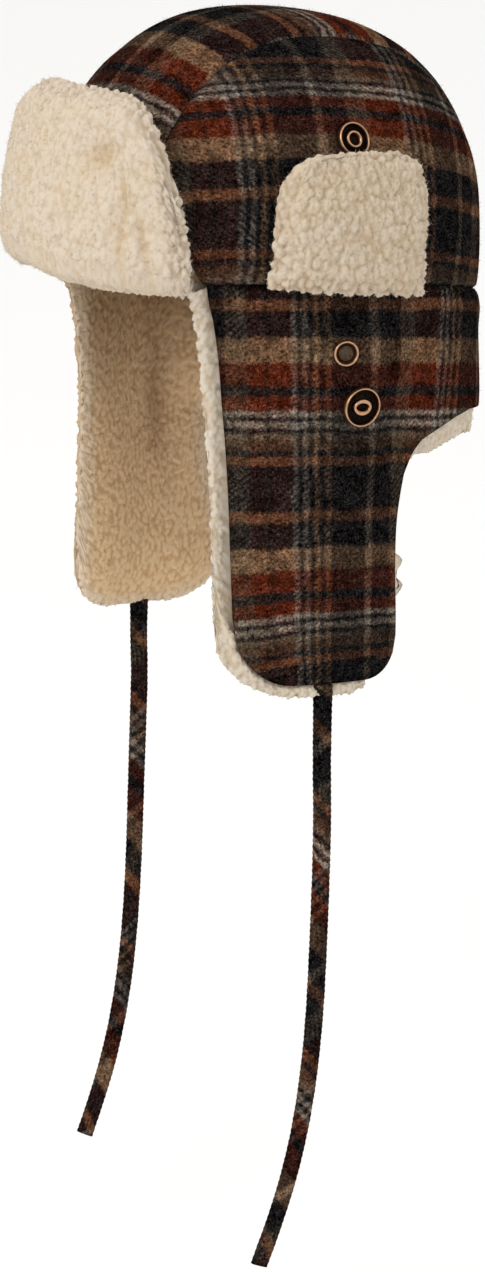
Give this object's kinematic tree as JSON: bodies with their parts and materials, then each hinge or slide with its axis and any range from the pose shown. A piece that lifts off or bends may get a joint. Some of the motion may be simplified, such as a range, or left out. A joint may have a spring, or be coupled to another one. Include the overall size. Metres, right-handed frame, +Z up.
{
  "type": "bomber hat",
  "caption": "Plaid wool trapper hat lined with sherpa pile, with a turned-up front flap, hanging ear flaps, ear tabs, snaps, vents and ties.",
  "frame": {"origin": "middle of the head opening at the level of the band seam, on the plane of symmetry", "axes": "+Z up, -Y the way the wearer faces, +X the wearer's left; the hat sits tipped 8.3 degrees back about X, as worn"},
  "size_m": [0.214, 0.2373, 0.6301],
  "materials": {
    "plaid_wool": "brushed twill, plaid in navy, rust red, tan and grey",
    "sherpa": "curled cream pile",
    "antique_copper": "antique copper plated stampings, worn bright on the rims",
    "vent_gauze": "fine brown mesh"
  },
  "bodies": {
    "root": {"crown_center_panel": "plaid_wool", "crown_side_panel_left": "plaid_wool", "crown_side_panel_right": "plaid_wool", "skirt": "plaid_wool", "front_flap_backing": "plaid_wool", "ear_tab_backing_left": "plaid_wool", "ear_tab_backing_right": "plaid_wool", "tie_left": "plaid_wool", "tie_right": "plaid_wool", "skirt_lining": "sherpa", "front_flap": "sherpa", "ear_tab_left": "sherpa", "ear_tab_right": "sherpa", "crown_snap_left": "antique_copper", "flap_snap_left": "antique_copper", "vent_eyelet_left": "antique_copper", "crown_snap_right": "antique_copper", "flap_snap_right": "antique_copper", "vent_eyelet_right": "antique_copper", "vent_mesh_left": "vent_gauze", "vent_mesh_right": "vent_gauze"}
  },
  "joints": []
}
